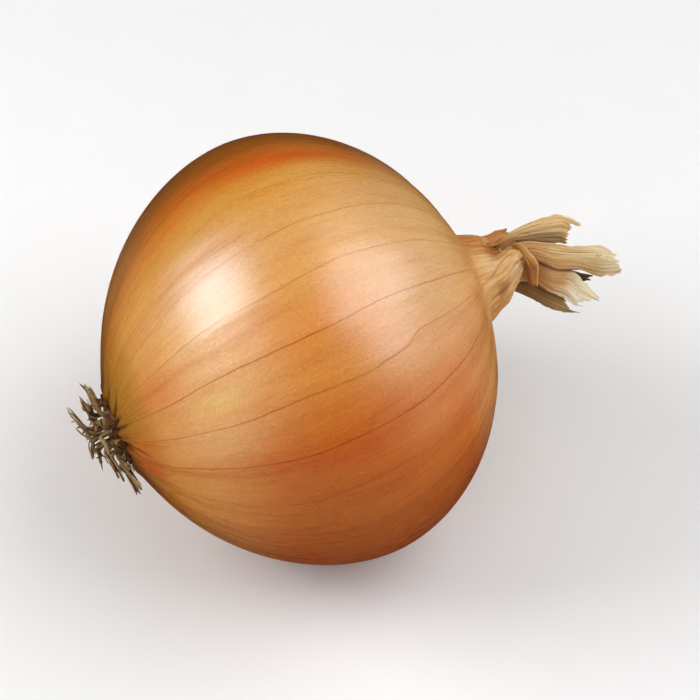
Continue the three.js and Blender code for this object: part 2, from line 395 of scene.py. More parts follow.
def skin_tone(shader, fibre, place, streak, fine, speck):
    """The painted tint made richer and lighter in broad fields, streaked and specked, with the veins,
    their twigs and the side lines stained in."""
    tint = shader.attribute("tint", "Color")
    broad = shader.grain(fibre, (8, 8, 1.6), 5, 0.6)
    blotch = shader.noise(place, 95.0, 4, 0.6)
    rich = shader.mix(1.0, tint, RICH, "MULTIPLY")
    light = shader.mix(1.0, tint, LIGHT, "MULTIPLY")
    tone = shader.mix(shader.ramp(broad, 0.50, 0.74, 0, 0.65), tint, rich)
    tone = shader.mix(shader.ramp(broad, 0.48, 0.28, 0, 0.80), tone, light)
    tone = shader.mix(shader.ramp(blotch, 0.5, 0.8, 0, 0.5), tone, light)
    lightness = shader.ramp(streak, 0.2, 0.8, 0.97, 1.03)
    lightness = shader.plus(lightness, shader.ramp(fine, 0.2, 0.8, -0.02, 0.02))
    lightness = shader.plus(lightness, shader.ramp(speck, 0.28, 0.72, -0.15, 0.15))
    scaled = shader.node("ShaderNodeVectorMath", {0: tone}, operation="SCALE")
    shader.feed(scaled.inputs["Scale"], lightness)
    tone = scaled.outputs["Vector"]

    uv = shader.node("ShaderNodeUVMap", uv_map="veins").outputs["UV"]
    phase = shader.node("ShaderNodeSeparateXYZ", {"Vector": uv}).outputs["X"]
    vein = vein_lines(shader, phase, fibre, offset=0.0, width=0.018, threshold=0.22)
    twig = vein_lines(shader, phase, fibre, offset=0.47, width=0.008, threshold=0.56)
    side = shader.ramp(shader.attribute("side_line", "Fac"), 0.16, 0.02)
    vein = shader.times(vein, shader.attribute("vein_ink", "Fac"))
    tone = shader.mix(vein, tone, VEIN_STAIN, "MULTIPLY")
    tone = shader.mix(shader.times(twig, 0.5), tone, TWIG_STAIN, "MULTIPLY")
    return shader.mix(shader.times(side, 0.8), tone, SIDE_STAIN, "MULTIPLY")


def bare_neck_tone(shader, fibre):
    """The neck's painted tint, shaded between its broad fibres, lined by fine ones, with brown painted shade
    in its creases.
    """
    neck_tint = shader.attribute("neck_tint", "Color")
    broad = shader.grain(fibre, (26, 26, 5), 4, 0.6)
    lines = shader.grain(fibre, (90, 90, 9), 3, 0.6)
    cream = shader.mix(1.0, neck_tint, NECK_SHADE, "MULTIPLY")
    cream = shader.mix(shader.ramp(broad, 0.38, 0.60), cream, neck_tint)
    cream = shader.mix(shader.ramp(lines, 0.54, 0.68, 0, 0.4), cream, NECK_LINE, "MULTIPLY")
    # Painted shade: brown mixed in by how deep each point lies in a crease of the pleats or in the pinch.
    crease = shader.ramp(shader.attribute("crease", "Fac"), 0.35, 1.1, 0, 0.7)
    return shader.mix(crease, cream, colour(150, 84, 34))


def vein_lines(shader, phase, fibre, offset, width, threshold):
    """Thin lines at every whole step of the phase, moved by a slow and a quick noise, each swelling and
    dying out along its run."""
    drift = shader.grain(fibre, (4.1, 4.1, 2.2), 0)
    quiver = shader.grain(fibre, (6, 6, 11), 1)
    moved = shader.plus(phase, shader.wander(drift, 0.30))
    moved = shader.plus(moved, shader.wander(quiver, 0.05))
    cell = shader.math("FRACT", shader.plus(moved, 0.5 + offset))
    distance = shader.math("ABSOLUTE", shader.math("SUBTRACT", cell, 0.5))
    line = shader.math("SUBTRACT", 1.0, shader.ramp(distance, width * 0.25, width))
    fade = shader.grain(fibre, (6.5, 6.5, 2.4))
    return shader.math("MULTIPLY", line, shader.ramp(fade, threshold, threshold + 0.14), clamp=True)


# ---- the bulb

BULB_ROWS = 276
BULB_COLUMNS = 352
PINCH = dict(x=39.3, angle=math.radians(119), width=2.0, depth=1.3)

# Tone of the skin by angle round the axis, in degrees, taken along the veins. Near 147–170 and 340–35
# degrees, the upper and lower edges of the bulb as the camera sees it, the tones are darker: partly the
# skin's own colour, partly painted shade.
RING_TONES = [
    (0, (186, 84, 12)), (24, (184, 86, 14)), (35, (196, 96, 14)), (44, (210, 108, 16)), (50, (208, 100, 10)),
    (57, (210, 104, 10)), (63, (208, 92, 6)), (68, (208, 102, 12)), (74, (212, 114, 24)),
    (80, (214, 124, 32)), (86, (216, 134, 42)), (93, (212, 124, 30)), (100, (212, 134, 44)),
    (110, (214, 148, 62)), (118, (210, 150, 74)), (126, (206, 146, 72)), (134, (206, 144, 58)),
    (141, (198, 126, 42)), (147, (186, 104, 24)), (156, (146, 82, 12)), (170, (138, 76, 12)),
    (190, (194, 120, 38)), (215, (216, 142, 56)), (238, (208, 126, 40)), (262, (192, 100, 24)),
    (290, (216, 140, 54)), (315, (202, 108, 28)), (340, (186, 90, 14)),
]
# What is mixed in along the axis: place in mm, tone, share.
ALONG_TONES = [
    (-37, (116, 60, 10), 0.90), (-34.8, (160, 92, 14), 0.85), (-32.8, (186, 112, 24), 0.75),
    (-30, (214, 144, 60), 0.65), (-26.5, (220, 150, 76), 0.50), (-22, (238, 180, 108), 0.15),
    (-16, (238, 180, 108), 0.0), (18, (244, 190, 124), 0.0), (23, (246, 192, 128), 0.30),
    (27, (244, 184, 108), 0.55), (29.5, (222, 158, 80), 0.65), (32, (200, 138, 64), 0.70),
]
# Local patches: place along the axis, angle round it, their two reaches, tone, share.
PATCHES = [
    # Pale round and below the bright spot on the left: partly the skin's own paler tone, partly painted
    # sheen.
    (-18, 96, 9.5, 19, (248, 208, 156), 0.48),
    (-22, 76, 7, 7, (244, 194, 134), 0.50),
    (14, 75, 9, 7, (246, 186, 132), 0.45),
    (26, 60, 4, 12, (200, 118, 40), 0.45),
    (-20, 87, 4, 4, (244, 208, 122), 0.40),
    # Pale under the broad reflection on the right: partly the skin's own tone, partly painted sheen.
    (18, 97, 12, 30, (236, 196, 150), 0.60),
    (-13, 118, 8, 13, (206, 160, 122), 0.60),
    (14, 62, 9, 8, (238, 160, 90), 0.40),
    (-27, 60, 9, 18, (228, 160, 76), 0.55),
    (-29, 100, 4.0, 10, (214, 116, 52), 0.55),
    (-34.4, 57, 1.7, 6, (204, 78, 18), 0.85),
    (-34.6, 72, 1.5, 5, (206, 92, 20), 0.75),
    (-33.5, 74, 2.0, 7, (206, 104, 30), 0.5),
    (-34.5, 112, 3.2, 34, (176, 118, 14), 0.75),
    (6, 144, 12, 3.6, (196, 80, 16), 0.75),
    (-6, 150, 15, 3.6, (186, 84, 18), 0.65),
    (-16, 143, 6, 2.4, (198, 92, 24), 0.5),
    (-18, 135, 9, 10, (196, 132, 38), 0.45),
]


def meridian():
    """The bulb's outline from the root pole to the end of the neck, as x and radius. A flat root face,
    the oval side and a quarter-round end are laid end to end, then resampled so that rows crowd together
    at the root rim and over the neck, where the surface turns and creases."""
    rim = float(bulb_radius(np.array(ROOT_END_X)))
    face = np.stack([np.full(60, ROOT_END_X), np.linspace(0, rim, 60)])
    x = ROOT_END_X + (NECK_END_X - ROOT_END_X) * (1 - np.cos(np.pi * np.linspace(0, 1, 900))) / 2
    side = np.stack([x, bulb_radius(x)])[:, 1:]
    turn = np.linspace(0, np.pi / 2, 60)[1:]
    end_radius = side[1, -1]
    end = np.stack([NECK_END_X + 1.6 * np.sin(turn), end_radius * np.cos(turn)])
    line = np.concatenate([face, side, end], 1)
    steps = np.hypot(*np.diff(line))
    weight = 1 + 2.2 * bump(line[0], ROOT_END_X, 4.0) + 3.2 * smooth_step(28, 33, line[0])
    run = np.concatenate([[0], np.cumsum(steps * (weight[1:] + weight[:-1]) / 2)])
    wanted = np.linspace(0, run[-1], BULB_ROWS)
    return np.interp(wanted, run, line[0]), np.interp(wanted, run, line[1])


def vein_phase(x, angle):
    """The angle counted in veins: whole numbers lie on the veins, which spiral slowly along the axis.
    One vein on the front jogs sideways where it forks."""
    turned = angle - SPIRAL * x
    off = turn_between(np.degrees(turned), 76, 360)
    jog = 0.22 * smooth_step(12.0, 15.5, x) * bump(off, 0, 9)
    return (turned - VEIN_START) * VEIN_COUNT / (2 * math.pi) - jog


# How dark the veins are by angle, in degrees.
VEIN_INK = [(0, 0.5), (40, 0.35), (52, 0.5), (64, 1.0), (78, 0.85), (92, 1.0), (105, 0.7), (119, 0.5),
            (134, 0.35), (160, 0.5), (200, 0.8), (240, 0.5), (290, 0.9), (330, 0.5), (360, 0.5)]
# Short side lines: start and end along the axis, and the angle in degrees at each end.
SIDE_LINES = [(12.5, 18.5, 77.5, 72.5), (-8.0, 16.0, 66.2, 66.6), (15.0, 24.0, 100.5, 99.0),
              (-26.0, -6.0, 98.2, 99.0)]


def side_line_distance(x, angle, radius):
    """How far each point is from the nearest side line, in mm, measured round the axis; beyond a line's
    ends the distance grows along the axis as well."""
    nearest = np.full(x.shape, 9.0)
    turned = np.degrees(angle - SPIRAL * x)
    for start, stop, turn_start, turn_stop in SIDE_LINES:
        share = np.clip((x - start) / (stop - start), 0, 1)
        off = np.radians(turned - turn_start - share * (turn_stop - turn_start)) * radius
        beyond = np.maximum(np.maximum(start - x, x - stop), 0)
        nearest = np.minimum(nearest, np.abs(off) + 0.15 * beyond)
    return nearest


def ridges(phase):
    """Rounded ridges with sharp valleys: |sin(phase / 2)|, shifted so that its mean is 0."""
    return np.abs(np.sin(phase / 2)) - 0.64


def pleats(x, angle):
    """Height of the folds of the drawn-in neck, in mm, and how deep in a crease each point is; the skin
    paints shade into the creases by that depth.
    Ridges run along the neck, waver and fork, and lean towards the pinch point on the front."""
    neck = smooth_step(31.4, 36.0, x)
    near = smooth_step(31, 39.5, x) ** 2
    off = turn_between(angle, PINCH["angle"])
    a = angle + 1.1 * near * off * np.exp(-(off / 0.9) ** 2) + 0.05 * np.sin(0.8 * x + 3 * angle)
    folds = 0.75 * ridges(15 * a + 1.2 * np.sin(0.35 * x) + 1.6 * np.sin(3 * a))
    folds = folds + 0.45 * ridges(26 * a + 1.4 * np.sin(0.5 * x + 1.0) + 2 * np.sin(2 * a) + 2.0)
    folds = folds + 0.20 * ridges(57 * a + 1.5 * np.sin(0.8 * x) + 0.6)
    strength = 0.62 + 0.26 * np.sin(2 * a + 0.5) + 0.16 * np.sin(5 * a)
    strength = strength + 0.3 * near * np.exp(-(off / 0.6) ** 2) + 0.55 * bump(angle, math.radians(148), 0.5)
    height = 0.8 * neck * strength * folds
    crease = neck * np.clip(-folds - 0.12, 0, 1) * 1.6
    return height, crease


# Deep creases at the root end: angle at the root face, its lean per millimetre, where they end, share.
ROOT_CREASES = [(69, -1.2, -33.2, 1.0), (50, -1.5, -32.4, 1.0), (106, 6, -33.8, 0.8), (88, 1, -34.4, 0.7),
                (128, 3, -34.0, 0.7), (20, -2, -33.4, 0.8), (160, 2, -33.6, 0.8), (205, -2, -33.0, 0.9),
                (244, 2, -33.8, 0.8), (285, -1, -33.2, 0.9), (330, 2, -33.8, 0.8)]


def puckers(x, radius, angle):
    """Radial wrinkles where the skin is drawn in round the root plate, dying out over a few mm."""
    reach = bump(radius, 7.6, 3.4) * smooth_step(-31.0, -35.0, x)
    wave = 1.3 * ridges(15 * angle + 2.4 * np.sin(2 * angle))
    wave = wave + 0.8 * ridges(34 * angle + 2 * np.sin(3 * angle))
    lobe = 0.55 * reach * (0.6 + 0.4 * np.sin(5 * angle + 1)) * bump(radius, 7.4, 1.6)
    groove = np.zeros_like(x)
    for degrees, lean, stop, share in ROOT_CREASES:
        turn = math.radians(degrees) + math.radians(lean) * (x - ROOT_END_X)
        aside = turn_between(angle, turn) * radius
        groove = np.maximum(groove, share * np.exp(-(aside / 0.32) ** 2) * smooth_step(stop, stop - 2.2, x))
    height = lobe + 0.42 * reach * wave - 0.45 * groove
    # The second value, how deep each point lies in a crease, masks painted shade in the skin's tone.
    return height, np.maximum(reach * smooth_step(0.25, 1.2, -wave), 1.25 * groove)


def neck_lean(x):
    """How far the end of the neck leans to the upper side, in mm."""
    return 1.2 * smooth_step(37.5, 42, x)


def bulb_surface():
    """Points of the bulb on a grid of rows along the outline and columns round the axis: the outline
    swept round, moved along its own normal by waviness, pleats and puckers, and flat where it rests."""
    row_x, row_radius = meridian()
    column_angle = np.arange(BULB_COLUMNS) * 2 * math.pi / BULB_COLUMNS - math.pi / 2
    x, angle = np.meshgrid(row_x, column_angle, indexing="ij")
    radius = np.repeat(row_radius[:, None], BULB_COLUMNS, 1)
    slope_x, slope_r = np.gradient(row_x), np.gradient(row_radius)
    length = np.hypot(slope_x, slope_r) + 1e-9
    normal_x, normal_r = (-slope_r / length)[:, None], (slope_x / length)[:, None]

    fold, crease = pleats(x, angle)
    pucker, pucker_shade_mask = puckers(x, radius, angle)
    swell = 0.16 * np.sin(2 * angle + 0.07 * x + 1.0) + 0.10 * np.sin(5 * angle - 0.05 * x)
    phase = 2 * math.pi * vein_phase(x, angle)
    vein_rib = 0.04 * np.cos(phase) + 0.016 * np.cos(2.3 * phase + 0.10 * x)
    vein_rib = vein_rib + 0.010 * np.cos(4.1 * phase - 0.16 * x)
    pinch = bump(x, PINCH["x"], PINCH["width"]) * bump(angle, PINCH["angle"], 0.5)
    on_side = smooth_step(6, 16, radius)
    shift = on_side * (swell + vein_rib) + fold + pucker - PINCH["depth"] * pinch
    points = around(x + shift * normal_x, np.maximum(radius + shift * normal_r, 0), angle)
    points[..., 1] += neck_lean(x)
    # The crease value, with the pinch dent added, masks painted shade on the neck.
    return points, x, radius, angle, np.maximum(crease, 0.8 * pinch), pucker_shade_mask


def ring_tone(degrees):
    """Tones of RING_TONES joined by straight steps between their angles, closed round the circle."""
    turn = [degree for degree, _ in RING_TONES] + [360]
    tones = np.array([linear(*tone) for _, tone in RING_TONES + RING_TONES[:1]])
    return np.stack([np.interp(degrees % 360, turn, tones[:, k]) for k in range(3)], -1)


def dab_patches(tone, patches, x, degrees):
    """Mixes each patch into a tone, weighed by a bell along the axis and a bell round it."""
    for place, turn, reach_x, reach_turn, shade, share in patches:
        weight = share * bump(x, place, reach_x) * bump(turn_between(degrees, turn, 360), 0, reach_turn)
        tone += weight[..., None] * (linear(*shade) - tone)


def skin_tint(x, radius, angle, pucker_shade_mask):
    """Base tone of the skin: by angle, then by place along the axis, then local patches, and painted shade,
    near-black brown, close to the root plate and in the creases of the puckers."""
    degrees = np.degrees(angle - SPIRAL * x)
    tone = ring_tone(degrees + 1.5 * np.sin(0.23 * x + 2) + 1.2 * np.sin(0.11 * x + 7 * angle))
    at = [entry[0] for entry in ALONG_TONES]
    along_tone = np.array([linear(*entry[1]) for entry in ALONG_TONES])
    mixed = np.stack([np.interp(x, at, along_tone[:, k]) for k in range(3)], -1)
    share = np.interp(x, at, [entry[2] for entry in ALONG_TONES])
    brightness = 0.55 + 0.45 * smooth_step(0.15, 0.75, tone[..., :1])
    tone += share[..., None] * (mixed * brightness - tone)
    dab_patches(tone, PATCHES, x, degrees)
    # Painted shade: near-black brown round the root plate's rim and in the pucker creases.
    dark = np.clip(0.7 * pucker_shade_mask + 0.75 * smooth_step(8.0, 6.9, radius) * (x < 0), 0, 1)
    return tone + dark[..., None] * (linear(58, 28, 12) - tone)


def rim_place(angle):
    """Where along the axis the papery skin ends round the neck: a little uneven all the way round."""
    return 31.6 - 0.1 * (1 - np.sin(angle)) - 0.3 * np.cos(angle) + 0.35 * np.sin(5 * angle + 1)


# Local tones of the neck: place along the axis, angle round it, their two reaches, tone, share.
NECK_PATCHES = [
    (34.5, 148, 4, 27, (196, 120, 46), 0.85),
    (38.0, 122, 2.0, 20, (184, 100, 40), 0.8),
    (37.2, 56, 2.0, 13, (160, 92, 40), 0.85),
    (35.0, 34, 3.5, 18, (196, 128, 66), 0.75),
    (33.5, 75, 2.0, 40, (222, 172, 110), 0.4),
    (36.2, 96, 1.6, 18, (240, 206, 158), 0.5),
    (41.0, 56, 2.0, 40, (228, 196, 152), 0.8),
    # Painted shade: the dark patch at the lower end of the flap's lip, over the gap beneath it.
    (42.6, 5, 2.0, 18, (120, 70, 24), 0.8),
    (36.0, 250, 5, 50, (204, 146, 88), 0.5),
    (38.5, 330, 2.5, 40, (170, 112, 62), 0.6),
]


def neck_tone(x, angle):
    """Base tone of the bare neck: cream, with soft brown patches where it is drawn together."""
    out = smooth_step(31, 36, x)[..., None]
    tone = linear(222, 164, 98) + out * (linear(232, 194, 134) - linear(222, 164, 98))
    dab_patches(tone, NECK_PATCHES, x, np.degrees(angle))
    return tone


def make_bulb():
    """The bulb: its surface closed by a pole at each end, with the values that its skin's material reads."""
    points, x, radius, angle, crease, pucker_shade_mask = bulb_surface()
    world = laid(points)
    world[..., 2] = np.maximum(world[..., 2], 0)
    inner_rows = slice(1, BULB_ROWS - 1)

    def with_poles(values):
        rings = values[inner_rows].reshape(-1, *values.shape[2:])
        return np.concatenate([rings, values[:1].mean(1), values[-1:].mean(1)])

    faces = pole_capped_faces(BULB_ROWS - 2, BULB_COLUMNS)
    piece = mesh_piece("onion_bulb", with_poles(world), faces, skin_material(), ["bulb"])
    mesh = piece.data
    unwound = angle - SPIRAL * x
    fibre = np.stack([np.cos(unwound), np.sin(unwound), x / GIRTH_RADIUS], -1)
    ink = np.interp(np.degrees(unwound) % 360, *zip(*VEIN_INK))
    put_vectors(mesh, "fibre", with_poles(fibre))
    put_colours(mesh, "tint", with_poles(skin_tint(x, radius, angle, pucker_shade_mask)))
    put_colours(mesh, "neck_tint", with_poles(neck_tone(x, angle)))
    put_floats(mesh, "past_rim", with_poles(x - rim_place(angle)))
    put_floats(mesh, "crease", with_poles(crease))
    put_floats(mesh, "vein_ink", with_poles(ink))
    put_floats(mesh, "side_line", with_poles(side_line_distance(x, angle, radius)))
    put_vein_map(mesh, faces, with_poles(x), with_poles(angle))


def put_vein_map(mesh, faces, x, angle):
    """Stores the vein phase of each face corner. In faces that join the last column to the first, the
    first column counts as a full turn on, so that the phase runs through without a break."""
    vertex = np.empty(len(mesh.loops), np.int64)
    mesh.loops.foreach_get("vertex_index", vertex)
    x, angle = x[vertex], angle[vertex]
    column = np.append(np.tile(np.arange(BULB_COLUMNS), BULB_ROWS - 2), [0, 0])[vertex]
    face_of = np.repeat(np.arange(len(faces)), [len(face) for face in faces])
    wraps = np.zeros(len(faces), bool)
    np.logical_or.at(wraps, face_of, column == BULB_COLUMNS - 1)
    angle = np.where(wraps[face_of] & (column == 0), angle + 2 * math.pi, angle)
    put_uv(mesh, "veins", np.stack([vein_phase(x, angle), x / 100], -1))


# ---- roots and plate

ROOT_RINGS = [
    dict(count=13, base=5.7, lift=0.9, tip_x=-38.6, side_x=0.9, reach=11.2, side=1.9, lean=12, thick=0.42),
    dict(count=10, base=3.6, lift=2.0, tip_x=-40.6, side_x=0.7, reach=8.9, side=0.7, lean=-24, thick=0.46),
    dict(count=6, base=1.5, lift=3.2, tip_x=-43.2, side_x=0.9, reach=6.1, side=-0.9, lean=34, thick=0.40),
]
GAP = 0.3


def plate_face(radius):
    """Height of the domed root plate: highest in the middle, falling with the square of the radius."""
    return PLATE_TOP_X - PLATE_DOME * (1 - (radius / PLATE_RADIUS) ** 2)


def root_route(ring, index):
    """Four points of one root's middle line: out of the plate, lifted, then bent outwards."""
    angle = math.radians(360 * (index + 0.5) / ring["count"])
    lean = math.radians(ring["lean"])
    low_side = math.cos(angle)
    waver = math.sin(index * 2.4)
    reach = ring["reach"] + ring["side"] * low_side + 0.7 * waver
    tip_x = ring["tip_x"] + ring["side_x"] * low_side + 0.25 * math.sin(index * 4.1)
    start = plate_face(ring["base"])
    lifted = start - GAP - ring["lift"]
    return np.array([
        around(start + 0.3, ring["base"], angle),
        around(lifted, ring["base"] + 0.5, angle + 0.08 * lean),
        around(lifted + 0.55 * (tip_x - lifted), (ring["base"] + reach) / 2, angle + lean / 2),
        around(tip_x, reach, angle + lean + math.radians(3 * waver)),
    ])


def smooth_route(points, count):
    """A Catmull-Rom curve through the points, sampled evenly in its own parameter."""
    padded = np.concatenate([[2 * points[0] - points[1]], points, [2 * points[-1] - points[-2]]])
    t = np.linspace(0, len(points) - 1 - 1e-9, count)
    i = t.astype(int)
    f = (t - i)[:, None]
    a, b, c, d = (padded[i + k] for k in range(4))
    square, cube = 2 * a - 5 * b + 4 * c - d, 3 * b - 3 * c + d - a
    return 0.5 * (2 * b + (c - a) * f + square * f ** 2 + cube * f ** 3)


def tube(route, radii, sides, flatten=1.0, twist=0.0):
    """A profile ring carried along a route: at each step an ellipse across the route's direction, with
    the given radius, flattened by a share and slowly twisted. Returns points as rows of rings."""
    ahead = np.gradient(route, axis=0)
    ahead /= np.linalg.norm(ahead, axis=1, keepdims=True)
    side = np.cross(ahead, [0.31, 0.9, 0.3])
    side /= np.linalg.norm(side, axis=1, keepdims=True)
    third = np.cross(ahead, side)
    turn = np.arange(sides) * 2 * math.pi / sides + twist * np.linspace(0, 1, len(route))[:, None]
    across = radii[..., None] * np.stack([np.cos(turn), flatten * np.sin(turn)], -1)
    return route[:, None] + across[..., :1] * side[:, None] + across[..., 1:] * third[:, None]


def capped(rings):
    """Faces of a tube given as rows of rings, with a single many-sided face at each end."""
    rows, sides = rings.shape[:2]
    body = grid_faces(rows, sides, wrap=True).tolist()
    return body + [list(range(sides))[::-1], [(rows - 1) * sides + k for k in range(sides)]]


ROOT_STRANDS = 5


def root_tubes(ring, index, random):
    """One root: a flattened, knobbly, wandering tube, and thinner strands split off around it that start
    beside it, drift away by a power of their run and end at lengths of their own."""
    tubes = []
    base = smooth_route(root_route(ring, index), 44)
    for strand in range(ROOT_STRANDS):
        main = strand == 0
        steps = 44 if main else 30
        t = np.linspace(0, 1, steps)
        reach = 1.0 if main else random.uniform(0.55, 1.04)
        along = np.clip(t * reach, 0, 1) * (len(base) - 1)
        route = np.stack([np.interp(along, np.arange(len(base)), base[:, k]) for k in range(3)], -1)
        way = random.uniform(-1, 1, 3)
        way[0] *= 0.6
        aside = 0.0 if main else 1.0
        route = route + aside * (0.35 + 1.3 * t[:, None] ** 1.5) * way * 0.9
        swing, phase = random.uniform(0.08, 0.26, 3), random.uniform(0, 6, 3)
        route = route + swing * (t[:, None] ** 0.7) * np.sin(np.array([7, 9, 12]) * t[:, None] + phase)
        knobs = 1 + 0.22 * np.sin(random.uniform(9, 17) * t + random.uniform(0, 6))
        knobs = knobs + 0.12 * random.uniform(-1, 1, steps)
        thick = ring["thick"] * (random.uniform(0.8, 1.15) if main else random.uniform(0.28, 0.7))
        girth = thick * (1.1 - 0.5 * t ** 1.5) * knobs
        girth[-3:] *= (0.9, 0.7, 0.4)
        sides = 9 if main else 6
        rim = 1 + 0.12 * np.sin(3 * np.arange(sides) * 2 * math.pi / sides + phase[0])
        flat = random.uniform(0.45, 0.9)
        tubes.append(tube(route, girth[:, None] * rim, sides, flatten=flat, twist=random.uniform(-2, 2)))
    return tubes


def join_tubes(tubes):
    """Points and faces of several tubes as one mesh."""
    points, faces, offset = [], [], 0
    for rings in tubes:
        points.append(rings.reshape(-1, 3))
        faces += [[v + offset for v in face] for face in capped(rings)]
        offset += rings.shape[0] * rings.shape[1]
    return np.concatenate(points), faces


def root_material():
    """Dry fibre: grey-brown with pale ridges and, as painted shade, dark hollows; rough, with a fibrous
    relief.
    """
    shader = Shader("dry_root", roughness=0.85, specular=0.25)
    place = shader.object_place()
    patch = shader.noise(place, 420.0, 4, 0.6)
    grain = shader.noise(place, 2600.0, 3, 0.6)
    strand = shader.attribute("strand_tone", "Fac")
    tone = shader.mix(shader.ramp(patch, 0.35, 0.65), colour(88, 56, 22), colour(152, 116, 66))
    tone = shader.mix(strand, tone, colour(204, 176, 134))
    # Painted shade: darker where the fine grain that also makes the relief is low, in its hollows.
    tone = shader.mix(shader.ramp(grain, 0.45, 0.3, 0, 0.7), tone, colour(60, 38, 18))
    shader.feed(shader.surface.inputs["Base Color"], tone)
    shader.relief(shader.math("ADD", grain, patch), 0.0003, 0.8)
    return shader.material


def make_roots():
    """All the roots, ring by ring from the outermost, each a bundle of strands in tones of their own."""
    random = np.random.default_rng(7)
    material = root_material()
    number = 0
    for ring in ROOT_RINGS:
        for index in range(ring["count"]):
            number += 1
            tubes = root_tubes(ring, index, random)
            points, faces = join_tubes(tubes)
            root = f"root_{number:02d}"
            piece = mesh_piece("dried_" + root, laid(points), faces, material, [root])
            light = random.uniform(0, 1, len(tubes)) ** 2.2 * 0.8
            sizes = [rings.shape[0] * rings.shape[1] for rings in tubes]
            put_floats(piece.data, "strand_tone", np.repeat(light, sizes))


def plate_material():
    """Cork: dark brown with paler crumbs."""
    shader = Shader("root_plate_cork", roughness=0.92, specular=0.2)
    place = shader.object_place()
    crumbs = shader.noise(place, 700.0, 5, 0.65)
    tone = shader.mix(shader.ramp(crumbs, 0.35, 0.7), colour(64, 30, 10), colour(138, 88, 46))
    shader.feed(shader.surface.inputs["Base Color"], tone)
    shader.relief(crumbs, 0.0006, 1.0)
    return shader.material


def make_plate():
    """The root plate: a domed disc in rings from its middle to its rim and back under, with lumps."""
    rings, columns = 30, 96
    share = np.linspace(0, 1, rings)[1:, None]
    angle = np.arange(columns)[None] * 2 * math.pi / columns
    lumps = 0.28 * np.sin(7 * angle + 9 * share) * np.sin(5 * angle - 4 * share)
    lumps = lumps + 0.16 * np.sin(17 * angle + 11 * share)
    radius = PLATE_RADIUS * share * (1 + 0.04 * np.sin(5 * angle) + 0.03 * np.sin(11 * angle))
    top = around(plate_face(PLATE_RADIUS * share) - lumps * smooth_step(0, 0.3, share), radius, angle)
    skirt = around(np.full((1, 1), ROOT_END_X + 0.1), radius[-1:], angle)
    wall = np.concatenate([top, skirt])
    points = np.concatenate([wall.reshape(-1, 3), [[plate_face(0), 0, 0], [ROOT_END_X + 0.1, 0, 0]]])
    faces = pole_capped_faces(len(wall), columns)
    mesh_piece("corky_root_plate", laid(points), faces, plate_material(), ["root_plate"])


# ---- dry leaves

# Each leaf lies between two edges, given from the neck outwards. `ends` says how much of its length each
# strand keeps, from the upper edge to the lower: the torn end. `tones` are light, middle and dark. `marks`
# are local tones: share of the length, share of the width, their two reaches, tone, share.
# Some marks are painted shade, as noted at their leaves.
CREAM, TAN, BROWN = (226, 196, 150), (204, 160, 106), (142, 90, 36)
WHITE, GOLD, RUST, UMBER = (244, 234, 210), (202, 142, 62), (192, 116, 48), (96, 50, 14)

